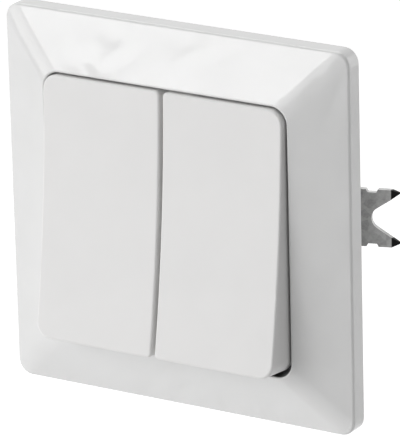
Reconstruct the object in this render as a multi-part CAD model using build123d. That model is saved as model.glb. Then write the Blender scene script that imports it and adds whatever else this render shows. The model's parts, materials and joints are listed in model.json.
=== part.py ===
from build123d import *
from math import asin, atan, cos, radians, sin, sqrt, tan

# Double light switch for a round flush box with 60 mm between its screws.
# A square cover frame holds two full-height rocker caps side by side. Behind it a steel
# ring lies on the wall, carries the mechanism and spreads two claws in the box.
# Frame of the model: X to the right as seen from the room, Z up, Y into the wall.
# The origin is the middle of the switch on the wall's surface. Lengths are millimetres.
# At rest both rockers are pressed in at the top.

# Cover frame
frame_size = 82.0
frame_corner = 3.2
frame_band = 4.0            # depth of the straight side band
frame_rise = 4.95           # from the band's edge up to the window's rim
frame_wall = 1.8
frame_edge_soft = 0.7       # rounding between band and sloping face
window_size = 58.0
window_corner = 3.5
rim_soft = 0.4
collar_wall = 1.2           # collar round the window, inside the frame
collar_lift = 0.3           # collar and ring
frame_rib = 1.0
rib_place = 20.0            # ribs, measured along each side from its middle
box_head_half = 5.6         # half the width of the notches for the box screws' heads
box_head_depth = 4.0

# Rocker caps
side_gap = 0.42             # cap and window, at the sides
end_gap = 0.2               # cap and window, where a tilted end passes the rim
middle_gap = 0.8            # between the two caps
cap_proud = 3.85            # untilted end edges over the rim
cap_hollow = 1.1            # how far the face's middle lies behind its ends
cap_front_wall = 1.6
cap_side_wall = 1.3
cap_outer_corner = 3.2
cap_inner_corner = 1.0
cap_edge_soft = 0.5
cap_rib = 1.0
end_rib_place = 7.0         # stiffening rib, from the cap's end
long_rib_place = 3.2        # rib along the cap, from the far bearing
tilt = 6.2                  # degrees each way from the middle position
skirt_lift = 0.65           # lowest skirt edge over the ring

# Steel ring
ring_thickness = 1.0
ring_margin = 0.2           # ring's edge past the clips' feet
ring_corner_cut = 5.0
opening_corner = 1.5
box_screw_spacing = 60.0
box_screw_hole = 4.2
tangent_slot = 9.0

# Housing of the mechanism
base_width = 38.6
base_height = 42.0
base_depth = 26.0
base_wall = 1.6
base_corner = 3.0
base_edge_soft = 1.0
seat_width = 1.6            # how much of the base's rim bears on the ring
spigot_play = 0.2
spigot_depth = 1.2          # cover reaches this far behind the ring
cover_thickness = 1.4
cover_edge = 0.4
partition = 1.2
partition_rise = 2.0        # partition's edge past the common rail
bridge_half = 1.2           # half the thickness of the bridge that carries the common rail
rivet_diameter = 1.8
rivet_head = 3.0
rivet_head_height = 0.6
rivet_inset = 1.6           # rivet and the edge of the ring's opening
rivet_boss = 1.9            # radius of the post round each rivet
rivet_play = 0.05
gang_window_room = 0.5      # guide and the edge of its window
gang_window_corner = 1.0

# Rocker bearings and carriers
pivot_height = 3.5          # pivot over the ring's front
ear_inset = 0.5             # cap's side wall and the first bearing
ear_thickness = 1.6
ear_radius = 2.6
ear_foot = 2.4              # how much wider each side of the foot is
journal_diameter = 3.0
journal_play = 0.05
carrier_play = 0.3          # carrier and ear
carrier_width = 11.8
carrier_length = 23.0
carrier_plate = 1.6
carrier_corner = 1.5
carrier_lift = 2.8          # pivot to the back of the carrier's plate
carrier_seat = 1.5          # cap's seat rib, from the end of the plate
cheek_thickness = 1.6
guide_diameter = 7.2
guide_bore = 4.6
guide_reach = 7.5           # guide's end behind the pivot
plunger_play = 0.1
plunger_reach = 12.2        # pivot to the centre of the plunger's ball
plunger_ball = 1.5
plunger_bore = 3.2
plunger_tail = 4.5          # how far the plunger reaches into the guide
plunger_collar = 2.0        # straight part outside the guide
spring_wire = 0.35
spring_turns = 6
post_width = 2.0
post_thickness = 1.2
post_place_x = 2.6          # snap posts, from the plate's side
post_place_z = 4.4          # snap posts, from the plate's end
post_hook = 1.2             # post's end past the plate
post_nib = 0.6
fit_gap = 0.1
past = 1.0                  # how far a cutting shape runs past what it cuts
sink = 0.2                  # how far a joined shape runs into the other

# Contacts
seesaw_depth = 12.0         # seesaw's axis behind the wall's surface
seesaw_width = 6.0
seesaw_arm = 9.8
seesaw_sheet = 1.0
seesaw_saddle = 2.65        # saddle's low point in front of the axis
saddle_half = 2.0
saddle_slope = 15.0
seesaw_bead = 1.2
seesaw_neck = 0.6           # step between sheet and bead
seesaw_corner = 1.0
seesaw_play = 0.3           # seesaw and the sides of its groove
seesaw_tilt = 9.3
contact_place = 8.5         # button on the arm, from the axis
button_diameter = 3.2
button_height = 0.6
button_dome = 4.0           # radius of the domed face
button_edge = 0.15
button_shank = 1.2          # diameter through the sheet
shank_head = 2.2
shank_head_height = 0.3
fixed_button = 0.8
contact_gap = 0.08
rail_sheet = 1.0
rail_bar = 2.0
rail_half = 2.4
rail_past_seesaw = 2.0
common_half = 6.0
outlet_margin = 0.1         # outlet rail and the posts round the rivets
strip_margin = 1.4          # strip's end and the fixed contact
terminal_room = 2.9         # middle of a terminal wall and the housing's side wall
terminal_gap = 2.9          # terminal wall's end and the rear wall
terminal_inset = 2.0        # block behind a terminal wall, narrower than it on each side
bend = 1.0
common_entry = 3.2          # wire entries either side of the middle
entry_diameter = 3.4
entry_inset = 1.6           # entries and terminal walls
clamp_sheet = 0.4
clamp_inset = 0.5           # clamp narrower than its rail on each side
clamp_height = 7.9          # clamp's leg and the middle of the terminal wall
clamp_front = 1.5           # clamp's leg and the common rail
clamp_gap = 2.8             # clamp's loop and the rear wall
clamp_loop = 1.8
clamp_bend = 0.7
clamp_tip = 1.1             # tip behind the end of the leg
clamp_slit = 0.8            # between the two fingers
clamp_root = 3.0            # leg to the start of the slit
ledge = 1.4
lever_width = 3.2
lever_height = 1.6
lever_shoulder = 1.0
lever_foot = 1.2            # thickness of the foot inside the housing
lever_proud = 1.0
lever_play = 0.15
lever_edge = 0.3

# Claws
claw_sheet = 1.2
claw_spread = 18.0          # degrees from the wall's plane
claw_pivot_depth = 10.3
claw_reach = 14.8           # pivot to the bottom of the mouth
claw_half = 6.2
claw_arm_outer = 5.3
claw_arm_end = 4.4          # where the arms start to widen
claw_step = 1.0
claw_slot_half = 3.8
claw_web = 2.6              # between slot and mouth
claw_slot_corner = 0.8
claw_tip = 5.95             # bottom of the mouth to the points
claw_tip_half = 5.5
claw_shoulder = 4.2         # bottom of the mouth to where the points narrow
claw_waist = 5.55
claw_waist_half = 1.1       # half the length of the shallow notch in the edges
claw_point = 0.1            # half the width of each point's flat end
claw_bevel = 1.9            # length of the ground points
claw_bevel_edge = 0.45      # what grinding leaves of the sheet
mouth_radius = 2.5
knuckle = 0.9
knuckle_room = 0.7          # knuckle and housing
knuckle_play = 0.05
knuckle_proud = 0.3
lug_play = 0.3              # arm and lug
lug_sheet = 1.0
lug_half = 1.4
screw_diameter = 3.0
screw_room = 0.2            # screw and knuckle
screw_head = 5.6
screw_head_height = 1.6
screw_head_edge = 0.5
screw_length = 24.5
screw_end = 0.4
screw_slot = 0.8            # width and depth of the slot
nut_radius = 2.2
nut_half = 3.5
nut_pin = 1.2
nut_pin_reach = 5.0
nut_play = 0.05

# Frame clips
clip_sheet = 0.5
clip_width = 6.0
clip_place = 14.0
clip_bend = 0.3
clip_foot = 2.4
clip_room = 0.3             # riser and hook, and nib and collar
clip_rivet = 1.4
clip_rivet_place = 1.45     # rivet in the foot, from the riser
hook_reach = 1.1
hook_height = 1.2
hook_lift = 0.6             # hook over the clip's foot
hook_land = 0.4

# Places that follow from the sizes above
edge_y = -frame_band
rim_y = edge_y - frame_rise
window_half = window_size / 2
collar_half = window_half + collar_wall
slope = atan(frame_rise / (frame_size / 2 - window_half))
pivot_y = -ring_thickness - pivot_height
cap_end_y = rim_y - cap_proud
swing = pivot_y - cap_end_y
tilt_sin = sin(radians(tilt))
tilt_cos = cos(radians(tilt))
cap_half = (window_half - end_gap - swing * tilt_sin) / tilt_cos
skirt_y = -(ring_thickness + skirt_lift + cap_half * tilt_sin)
cap_in_x = middle_gap / 2
cap_out_x = window_half - side_gap
face_radius = (cap_half**2 + cap_hollow**2) / (2 * cap_hollow)
face_axis_y = cap_end_y + cap_hollow - face_radius
opening_half_x = base_width / 2 - seat_width
opening_half_z = base_height / 2 - seat_width
cover_y = -ring_thickness - cover_thickness
cheek_radius = pivot_height - cover_thickness - carrier_play
ear_x = cap_in_x + cap_side_wall + ear_inset
carrier_x = ear_x + ear_thickness + carrier_play
far_ear_x = carrier_x + carrier_width + carrier_play
gang_x = carrier_x + carrier_width / 2
plate_y = pivot_y - carrier_lift - carrier_plate
base_inner_x = base_width / 2 - base_wall
base_inner_z = base_height / 2 - base_wall
rear_wall_y = base_depth - base_wall
knuckle_x = base_width / 2 + knuckle_room + knuckle
screw_x = knuckle_x + knuckle + screw_room + screw_diameter / 2
nut_stand = claw_sheet / 2 + nut_pin + fit_gap
spread = radians(claw_spread)
nut_y = claw_pivot_depth + (nut_stand + (screw_x - knuckle_x) * sin(spread)) / cos(spread)
lug_z = claw_arm_outer + lug_play
rivet_x = opening_half_x - rivet_inset
rivet_z = opening_half_z - rivet_inset
outlet_half = rivet_x - rivet_boss - outlet_margin - gang_x
outlet_entry = outlet_half - entry_diameter / 2 - outlet_margin
terminal_place = base_inner_z - terminal_room
terminal_end = rear_wall_y - terminal_gap
rail_back = seesaw_depth + rail_bar
rail_end = gang_x + seesaw_width / 2 + rail_past_seesaw
clamp_leg = terminal_place - clamp_height
clamp_front_y = rail_back + clamp_front
clamp_rear = rear_wall_y - clamp_gap
clip_riser_x = collar_half + hook_reach + fit_gap + clip_sheet / 2 + clip_room
clip_rivet_x = clip_riser_x + clip_rivet_place
ring_half = clip_riser_x + clip_foot + ring_margin


# Helpers

def slab(outline, front, back):
    """Sketch drawn in X and Z, filled from the back plane to the front plane."""
    return extrude(Plane.XZ.offset(-back) * outline, back - front)


def side_profile(outline, start, end):
    """Sketch drawn in Y and Z, filled from one X to another."""
    return extrude(Plane.YZ.offset(start) * outline, end - start)


def block(x, y, z):
    """Box between pairs of lowest and highest coordinates."""
    middle = Pos((x[0] + x[1]) / 2, (y[0] + y[1]) / 2, (z[0] + z[1]) / 2)
    return middle * Box(x[1] - x[0], y[1] - y[0], z[1] - z[0])


def rod_x(radius, x, y, z):
    return Pos((x[0] + x[1]) / 2, y, z) * Rot(0, 90, 0) * Cylinder(radius, x[1] - x[0])


def rod_y(radius, x, y, z):
    return Pos(x, (y[0] + y[1]) / 2, z) * Rot(90, 0, 0) * Cylinder(radius, y[1] - y[0])


def rod_z(radius, x, y, z):
    return Pos(x, y, (z[0] + z[1]) / 2) * Cylinder(radius, z[1] - z[0])


def square(size, corner):
    return RectangleRounded(size, size, corner)


def bent_strip(points, radius, thickness):
    """Section of a strip of sheet that is bent along its middle line."""
    return trace(FilletPolyline(*points, radius=radius), thickness)


def tilted(shape, degrees, depth):
    """Shape turned about an axis along X at the given depth, on the switch's middle height."""
    return Pos(0, depth, 0) * Rot(degrees, 0, 0) * Pos(0, -depth, 0) * shape


def one_solid(shape):
    """The solid itself, so that a node is never a nested group."""
    return shape.solids()[0]


def save(name, *shapes):
    """Write one node, as a group where it has several solids."""
    solids = [solid for shape in shapes for solid in shape.solids()]
    node = solids[0] if len(solids) == 1 else Compound(children=solids)
    node.label = name
    export_step(node, f"parts/{name}.step")


def save_pair(name, shape):
    """Write the right-hand node and its mirror image on the left."""
    save(f"{name}_right", shape)
    save(f"{name}_left", mirror(shape, about=Plane.YZ))


# Cover frame

def inner_slope_y(half):
    """Depth of the sloping wall's inner face at a distance from the middle."""
    return edge_y + frame_wall / cos(slope) - (frame_size / 2 - half) * tan(slope)


def cover_frame():
    outer = square(frame_size, frame_corner)
    rim = square(window_size, window_corner)
    body = slab(outer, edge_y, 0)
    body += loft([Plane.XZ.offset(-edge_y) * outer, Plane.XZ.offset(-rim_y) * rim], ruled=True)
    band_edges = body.edges().filter_by(lambda e: abs(e.center().Y - edge_y) < 0.01)
    body = fillet(band_edges, frame_edge_soft)
    inner_half = frame_size / 2 - frame_wall
    inner = square(2 * inner_half, frame_corner - frame_wall)
    collar = square(2 * collar_half, window_corner + collar_wall)
    inner_y = inner_slope_y(inner_half)
    collar_y = inner_slope_y(collar_half)
    hollow = slab(inner, inner_y, 0)
    sections = [Plane.XZ.offset(-inner_y) * inner, Plane.XZ.offset(-collar_y) * collar]
    hollow += loft(sections, ruled=True)
    hollow -= slab(collar, rim_y, -ring_thickness - collar_lift)
    ribs = Part()
    rib_back = -ring_thickness - 2 * collar_lift
    for place in (-rib_place, rib_place):
        for side in (-1, 1):
            reach = sorted((side * collar_half, side * inner_half))
            across = (place - frame_rib / 2, place + frame_rib / 2)
            ribs += block(reach, (rim_y, rib_back), across)
            ribs += block(across, (rim_y, rib_back), reach)
    hollow -= ribs
    body -= hollow
    body -= slab(rim, rim_y - past, past)
    rim_edges = body.edges().filter_by(lambda e: abs(e.center().Y - rim_y) < 0.01)
    body = fillet(rim_edges, rim_soft)
    for side in (-1, 1):
        # Room for the heads of the two box screws
        notch = block(
            (-box_head_half, box_head_half),
            (-ring_thickness - box_head_depth, 0),
            sorted((side * (window_half - past), side * (collar_half + past))),
        )
        body -= notch
        for place in (-clip_place, clip_place):
            body += Pos(0, 0, place) * frame_hook(side)
    return one_solid(body)


def clip_top_y():
    """Front of the hook on the collar, which the clip's nib passes over."""
    return -ring_thickness - clip_sheet - hook_lift - hook_height


def frame_hook(side):
    """Wedge on the collar's outside that snaps behind a clip."""
    top = clip_top_y()
    base = collar_half - sink
    tip = collar_half + hook_reach
    corners = ((base, top), (tip, top), (tip, top + hook_land), (base, top + hook_height))
    hook = extrude(make_face(Polyline(*corners, close=True)), clip_width / 2, both=True)
    return hook if side > 0 else mirror(hook, about=Plane.YZ)


def frame_clip():
    """Bent steel clip: foot on the ring, riser and a nib that leans over the hook."""
    foot_y = -ring_thickness - clip_sheet / 2
    nib_y = clip_top_y() - fit_gap - clip_sheet / 2
    nib_x = collar_half + fit_gap + clip_room
    foot_end = clip_riser_x + clip_foot
    path = ((foot_end, foot_y), (clip_riser_x, foot_y), (clip_riser_x, nib_y), (nib_x, nib_y))
    clip = extrude(bent_strip(path, clip_bend, clip_sheet), clip_width / 2, both=True)
    hole = rod_y(clip_rivet / 2 + rivet_play, clip_rivet_x, (foot_y - past, foot_y + past), 0)
    return clip - hole


# Steel ring with its claw lugs

def support_ring():
    outline = Rectangle(2 * ring_half, 2 * ring_half)
    outline = chamfer(outline.vertices(), ring_corner_cut)
    opening = RectangleRounded(2 * opening_half_x, 2 * opening_half_z, opening_corner)
    plate = slab(outline, -ring_thickness, 0) - slab(opening, -ring_thickness, 0)
    lug_length = claw_pivot_depth + lug_half
    window_x = (knuckle_x - lug_half, knuckle_x + lug_half)
    rivet_y = (-ring_thickness - clip_sheet - clip_room, -ring_thickness)
    for side in (-1, 1):
        plate -= rod_y(box_screw_hole / 2, 0, (-ring_thickness, 0), side * box_screw_spacing / 2)
        slot = SlotCenterToCenter(tangent_slot, box_screw_hole, rotation=90)
        place = Pos(side * box_screw_spacing / 2, 0)
        plate -= slab(place * slot, -ring_thickness, 0)
        plate -= rod_y(screw_diameter / 2 + fit_gap, side * screw_x, (-ring_thickness, 0), 0)
        for up in (-1, 1):
            gap_z = sorted((up * (lug_z + lug_sheet), up * (lug_z + lug_sheet + lug_length)))
            reach = window_x if side > 0 else (-window_x[1], -window_x[0])
            plate -= block(reach, (-ring_thickness, 0), gap_z)
            plate += claw_lug(side, up)
            plate += rod_y(clip_rivet / 2, side * clip_rivet_x, rivet_y, up * clip_place)
    return one_solid(plate)


def claw_lug(side, up):
    """Tongue bent back from the ring, with the hole that carries a claw's knuckle."""
    x = side * knuckle_x
    z = (lug_z, lug_z + lug_sheet) if up > 0 else (-lug_z - lug_sheet, -lug_z)
    lug = block((x - lug_half, x + lug_half), (-ring_thickness, claw_pivot_depth), z)
    lug += rod_z(lug_half, x, claw_pivot_depth, z)
    return lug - rod_z(knuckle + knuckle_play, x, claw_pivot_depth, (z[0] - past, z[1] + past))


# Housing

def gang_window():
    half_x = guide_diameter / 2 + gang_window_room
    half_z = half_x + guide_reach * tilt_sin
    return RectangleRounded(2 * half_x, 2 * half_z, gang_window_corner)


def rivet_places():
    return [(x, z) for x in (-rivet_x, rivet_x) for z in (-rivet_z, rivet_z)]


def socket_cover():
    plate = RectangleRounded(base_width, base_height, base_corner)
    spigot = RectangleRounded(
        2 * (opening_half_x - spigot_play), 2 * (opening_half_z - spigot_play), opening_corner
    )
    body = slab(plate, cover_y, -ring_thickness)
    body = chamfer(body.faces().sort_by(Axis.Y)[0].edges(), cover_edge)
    body += slab(spigot, -ring_thickness, spigot_depth)
    for side in (-1, 1):
        body -= slab(Pos(side * gang_x, 0) * gang_window(), cover_y - past, spigot_depth + past)
        for x in (ear_x, far_ear_x):
            low, high = sorted((side * x, side * (x + ear_thickness)))
            body += bearing_ear(low, high)
    for x, z in rivet_places():
        body -= rod_y(rivet_diameter / 2 + rivet_play, x, (cover_y - past, spigot_depth + past), z)
    return one_solid(body)


def bearing_ear(low, high):
    """Upright with a bore for a carrier's journal, tapering from a wide foot."""
    foot = ear_radius + ear_foot
    outline = make_face(Polyline(
        (cover_y + sink, -foot), (cover_y, -foot), (pivot_y, -ear_radius),
        (pivot_y, ear_radius), (cover_y, foot), (cover_y + sink, foot), close=True,
    ))
    outline += Pos(pivot_y, 0) * Circle(ear_radius)
    outline -= Pos(pivot_y, 0) * Circle(journal_diameter / 2 + journal_play)
    return side_profile(outline, low, high)


def entry_places():
    """Wire entries in the rear wall: two for the common rail, two for each outlet."""
    height = terminal_place - rail_sheet / 2 - entry_inset
    places = [(side * common_entry, height) for side in (-1, 1)]
    for gang in (-1, 1):
        places += [(gang * gang_x + side * outlet_entry, -height) for side in (-1, 1)]
    return places


def lever_places():
    """Middle of each release lever and the way up from its clamp's leg to its blade."""
    return {"common": (0, 1), "right": (gang_x, -1), "left": (-gang_x, -1)}


def socket_base():
    outline = RectangleRounded(base_width, base_height, base_corner)
    inner = RectangleRounded(2 * base_inner_x, 2 * base_inner_z, base_corner - base_wall)
    body = slab(outline, 0, base_depth)
    body = fillet(body.faces().sort_by(Axis.Y)[-1].edges(), base_edge_soft)
    body -= slab(inner, -past, rear_wall_y)
    into_wall = rear_wall_y + sink
    side_x = base_inner_x + sink
    side_z = base_inner_z + sink
    partition_top = rail_half + partition_rise
    partition_x = (-partition / 2, partition / 2)
    body += block(partition_x, (spigot_depth + fit_gap, into_wall), (-side_z, partition_top))
    rail_room = (seesaw_depth - sink, rail_back)
    body -= block((-partition, partition), rail_room, (-rail_half - fit_gap, partition_top))
    body += block((-side_x, side_x), (rail_back, into_wall), (-bridge_half, bridge_half))
    wall_top = terminal_place + rail_sheet / 2
    ledge_z = (clamp_leg - clamp_sheet / 2 - ledge, clamp_leg - clamp_sheet / 2)
    body += block((-common_half, common_half), (rail_back, into_wall), ledge_z)
    narrow = (-common_half + terminal_inset, common_half - terminal_inset)
    body += block(narrow, (rail_back + terminal_inset, into_wall), (wall_top, side_z))
    outlet_back = outlet_y() + rail_sheet
    for side in (-1, 1):
        reach = (side * gang_x - outlet_half, side * gang_x + outlet_half)
        body += block(reach, (outlet_back, into_wall), (-ledge_z[1], -ledge_z[0]))
        narrow = (reach[0] + terminal_inset, reach[1] - terminal_inset)
        body += block(narrow, (outlet_back + terminal_inset, into_wall), (-side_z, -wall_top))
    for x, z in rivet_places():
        body += rod_y(rivet_boss, x, (spigot_depth, into_wall), z)
        body -= rod_y(rivet_diameter / 2 + rivet_play, x, (0, base_depth + past), z)
    through_wall = (rear_wall_y - past / 2, base_depth + past)
    for x, z in entry_places():
        body -= rod_y(entry_diameter / 2, x, through_wall, z)
    for x, up in lever_places().values():
        z = up * lever_z()
        hole_x = (x - lever_width / 2 - lever_play, x + lever_width / 2 + lever_play)
        hole_z = (z - lever_height / 2 - lever_play, z + lever_height / 2 + lever_play)
        body -= block(hole_x, through_wall, hole_z)
    return one_solid(body)


def housing_rivets():
    upright = (Align.CENTER, Align.CENTER, Align.MIN)
    head = Cone(rivet_head / 2, rivet_head / 3, rivet_head_height, align=upright)
    rivets = []
    for x, z in rivet_places():
        rivet = rod_y(rivet_diameter / 2, x, (cover_y, base_depth), z)
        rivet += Pos(x, cover_y, z) * Rot(90, 0, 0) * head
        rivet += Pos(x, base_depth, z) * Rot(-90, 0, 0) * head
        rivets.append(rivet)
    return rivets


# Rockers

def cap_outline(inset):
    width = cap_out_x - cap_in_x - 2 * inset
    middle = (cap_out_x + cap_in_x) / 2
    outline = Pos(middle, 0) * Rectangle(width, 2 * (cap_half - inset))
    columns = outline.vertices().group_by(Axis.X)
    outline = fillet(columns[-1], cap_outer_corner - inset)
    inner = outline.vertices().group_by(Axis.X)[0]
    if cap_inner_corner > inset:
        outline = fillet(inner, cap_inner_corner - inset)
    return outline


def rocker_cap():
    body = slab(cap_outline(0), cap_end_y, skirt_y)
    body -= rod_x(face_radius, (-past, cap_out_x + past), face_axis_y, 0)
    body = fillet(body.faces().sort_by(Axis.Y)[0].edges(), cap_edge_soft)
    inner_face = face_radius + cap_front_wall
    hollow = slab(cap_outline(cap_side_wall), cap_end_y, skirt_y)
    hollow -= rod_x(inner_face, (-past, cap_out_x + past), face_axis_y, 0)
    back_of_plate = plate_y + carrier_plate
    post_end = back_of_plate + post_hook
    inside = (cap_in_x + cap_side_wall - sink, cap_out_x - cap_side_wall + sink)
    over_plate = (carrier_x, carrier_x + carrier_width)
    for up in (-1, 1):
        # Seat rib that the carrier's plate rests against, and a stiffening rib near the end
        seat = up * (carrier_length / 2 - carrier_seat)
        hollow -= block(over_plate, (cap_end_y, plate_y), (seat - cap_rib / 2, seat + cap_rib / 2))
        far = up * (cap_half - end_rib_place)
        hollow -= block(inside, (cap_end_y, plate_y + cap_rib), (far - cap_rib / 2, far + cap_rib / 2))
        for x in post_places():
            reach = (x - post_width / 2, x + post_width / 2)
            z = post_z(up)
            hollow -= block(reach, (cap_end_y, post_end), z)
            nib = (z[1] - sink, z[1] + post_nib) if up > 0 else (z[0] - post_nib, z[0] + sink)
            hollow -= block(reach, (back_of_plate + fit_gap, post_end), nib)
    long_rib = far_ear_x + ear_thickness + long_rib_place
    rib_end = cap_half - cap_side_wall + sink
    hollow -= block((long_rib, long_rib + cap_rib), (cap_end_y, plate_y), (-rib_end, rib_end))
    return one_solid(body - hollow)


def post_places():
    return (carrier_x + post_place_x, carrier_x + carrier_width - post_place_x)


def post_z(up):
    near = carrier_length / 2 - post_place_z
    low, high = sorted((up * near, up * (near - post_thickness)))
    return (low, high)


def rocker_carrier():
    outline = Pos(gang_x, 0) * RectangleRounded(carrier_width, carrier_length, carrier_corner)
    body = slab(outline, plate_y, plate_y + carrier_plate)
    cheek_top = plate_y + carrier_plate - sink
    cheek = make_face(Polyline(
        (cheek_top, -carrier_length / 4), (pivot_y, -cheek_radius),
        (pivot_y, cheek_radius), (cheek_top, carrier_length / 4), close=True,
    ))
    cheek += Pos(pivot_y, 0) * Circle(cheek_radius)
    far_x = carrier_x + carrier_width
    for low, high in ((carrier_x, carrier_x + cheek_thickness), (far_x - cheek_thickness, far_x)):
        body += side_profile(cheek, low, high)
    journal_reach = carrier_play + ear_thickness - fit_gap
    body += rod_x(journal_diameter / 2, (carrier_x - journal_reach, carrier_x + sink), pivot_y, 0)
    body += rod_x(journal_diameter / 2, (far_x - sink, far_x + journal_reach), pivot_y, 0)
    guide_end = pivot_y + guide_reach
    body += rod_y(guide_diameter / 2, gang_x, (plate_y + sink, guide_end), 0)
    body -= rod_y(guide_bore / 2, gang_x, (spring_seat_y(), guide_end + past), 0)
    for up in (-1, 1):
        z = post_z(up)
        slot = (z[0] - fit_gap, z[1] + post_nib + fit_gap)
        if up < 0:
            slot = (z[0] - post_nib - fit_gap, z[1] + fit_gap)
        for x in post_places():
            half = post_width / 2 + fit_gap
            body -= block((x - half, x + half), (plate_y - past, spring_seat_y() + fit_gap), slot)
    return one_solid(body)


def spring_seat_y():
    return plate_y + carrier_plate


def plunger():
    """Hollow pin with a ball end, sprung out of the carrier's guide onto the seesaw."""
    radius = guide_bore / 2 - plunger_play
    back = pivot_y + guide_reach - plunger_tail
    shoulder = pivot_y + guide_reach + plunger_collar
    ball_y = pivot_y + plunger_reach
    body = rod_y(radius, gang_x, (back, shoulder), 0)
    neck = Pos(gang_x, (shoulder + ball_y) / 2, 0) * Rot(-90, 0, 0)
    body += neck * Cone(radius, plunger_ball, ball_y - shoulder)
    body += Pos(gang_x, ball_y, 0) * Sphere(plunger_ball)
    body -= rod_y(plunger_bore / 2, gang_x, (back - past, plunger_floor_y()), 0)
    return one_solid(body)


def plunger_floor_y():
    return pivot_y + guide_reach


def plunger_spring():
    start = spring_seat_y() + fit_gap + spring_wire / 2
    end = plunger_floor_y() - fit_gap - spring_wire / 2
    radius = plunger_bore / 2 - fit_gap - spring_wire / 2
    line = Helix(pitch=(end - start) / spring_turns, height=end - start, radius=radius)
    section = (line ^ 0) * Circle(spring_wire / 2)
    coil = sweep(section, path=line)
    return Pos(gang_x, start, 0) * Rot(-90, 0, 0) * coil


# Contacts

def contact_rocker():
    """Seesaw of sheet brass: V-shaped saddle in front, bead on its axis at the back."""
    rise = saddle_half * tan(radians(saddle_slope))
    front = -seesaw_saddle - rise
    back = front + seesaw_sheet
    outline = make_face(Polyline(
        (front, seesaw_arm), (front, saddle_half), (-seesaw_saddle, 0), (front, -saddle_half),
        (front, -seesaw_arm), (back, -seesaw_arm), (back, -saddle_half),
        (back + seesaw_neck, -seesaw_bead), (0, -seesaw_bead), (0, seesaw_bead),
        (back + seesaw_neck, seesaw_bead), (back, saddle_half), (back, seesaw_arm), close=True,
    ))
    outline += Circle(seesaw_bead)
    body = side_profile(outline, gang_x - seesaw_width / 2, gang_x + seesaw_width / 2)
    thin_edges = body.edges().filter_by(Axis.Y)
    tips = thin_edges.filter_by(lambda e: abs(abs(e.center().Z) - seesaw_arm) < 0.01)
    body = chamfer(tips, seesaw_corner)
    hole = rod_y(button_shank / 2 + rivet_play, gang_x, (front - past, back + past), -contact_place)
    body -= hole
    return tilted(Pos(0, seesaw_depth, 0) * one_solid(body), seesaw_tilt, seesaw_depth)


def moving_contact():
    """Domed silver rivet in the seesaw's lower arm."""
    front = -seesaw_saddle - saddle_half * tan(radians(saddle_slope))
    back = front + seesaw_sheet
    dome_y = back + button_height + button_dome - sqrt(button_dome**2 - button_diameter**2 / 4)
    body = rod_y(button_diameter / 2, gang_x, (back, dome_y), -contact_place)
    body &= Pos(gang_x, dome_y - button_dome, -contact_place) * Sphere(button_dome)
    body += rod_y(button_shank / 2, gang_x, (front, back), -contact_place)
    body += rod_y(shank_head / 2, gang_x, (front - shank_head_height, front), -contact_place)
    return tilted(Pos(0, seesaw_depth, 0) * one_solid(body), seesaw_tilt, seesaw_depth)


def dome_centre():
    """Centre of the moving contact's dome at rest, behind and above the seesaw's axis."""
    front = -seesaw_saddle - saddle_half * tan(radians(saddle_slope))
    top = front + seesaw_sheet + button_height + button_dome
    y = top - sqrt(button_dome**2 - button_diameter**2 / 4) - button_dome
    turn = radians(seesaw_tilt)
    return (y * cos(turn) + contact_place * sin(turn), y * sin(turn) - contact_place * cos(turn))


def outlet_y():
    """Front of the outlet rail, behind the fixed contact's button."""
    return seesaw_depth + dome_centre()[0] + button_dome + contact_gap + fixed_button


def fixed_contact():
    z = dome_centre()[1]
    body = rod_y(button_diameter / 2, gang_x, (outlet_y() - fixed_button, outlet_y()), z)
    body = chamfer(body.faces().sort_by(Axis.Y)[0].edges(), button_edge)
    body += rod_y(button_shank / 2, gang_x, (outlet_y(), outlet_y() + rail_sheet), z)
    return one_solid(body)


def terminal_strip(middle_y, start_z, low, high):
    """Sheet that stands behind the contacts and turns back along the terminal."""
    path = ((middle_y, start_z), (middle_y, terminal_place), (terminal_end, terminal_place))
    return side_profile(bent_strip(path, bend, rail_sheet), low, high)


def common_rail():
    bar = block((-rail_end, rail_end), (seesaw_depth, rail_back), (-rail_half, rail_half))
    groove_half = seesaw_width / 2 + seesaw_play
    for side in (-1, 1):
        groove = (side * gang_x - groove_half, side * gang_x + groove_half)
        bar -= rod_x(seesaw_bead + journal_play, groove, seesaw_depth, 0)
    strip = terminal_strip(rail_back - rail_sheet / 2, rail_half - sink, -common_half, common_half)
    return one_solid(bar + strip)


def outlet_rail():
    contact_z = dome_centre()[1]
    start = -contact_z - button_diameter / 2 - strip_margin
    middle_y = outlet_y() + rail_sheet / 2
    strip = terminal_strip(middle_y, start, gang_x - outlet_half, gang_x + outlet_half)
    rail = mirror(strip, about=Plane.XY)
    hole = rod_y(button_shank / 2 + rivet_play, gang_x, (middle_y - past, middle_y + past), contact_z)
    return one_solid(rail - hole)


def clamp_spring(middle_x, up, half):
    """Looped leaf spring whose two fingers press the wires against the terminal wall."""
    tip_z = terminal_place - rail_sheet / 2 - clamp_sheet / 2 - fit_gap
    path = (
        (clamp_front_y, clamp_leg), (clamp_rear, clamp_leg), (clamp_rear, clamp_leg + clamp_loop),
        (clamp_front_y + clamp_tip, tip_z),
    )
    section = bent_strip(path, clamp_bend, clamp_sheet)
    spring = side_profile(section, middle_x - half, middle_x + half)
    slit_x = (middle_x - clamp_slit / 2, middle_x + clamp_slit / 2)
    slit_y = (clamp_front_y - past, clamp_rear + past)
    spring -= block(slit_x, slit_y, (clamp_leg + clamp_root, tip_z + past))
    spring = one_solid(spring)
    return spring if up > 0 else mirror(spring, about=Plane.XY)


def lever_z():
    return clamp_leg + clamp_root


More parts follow.
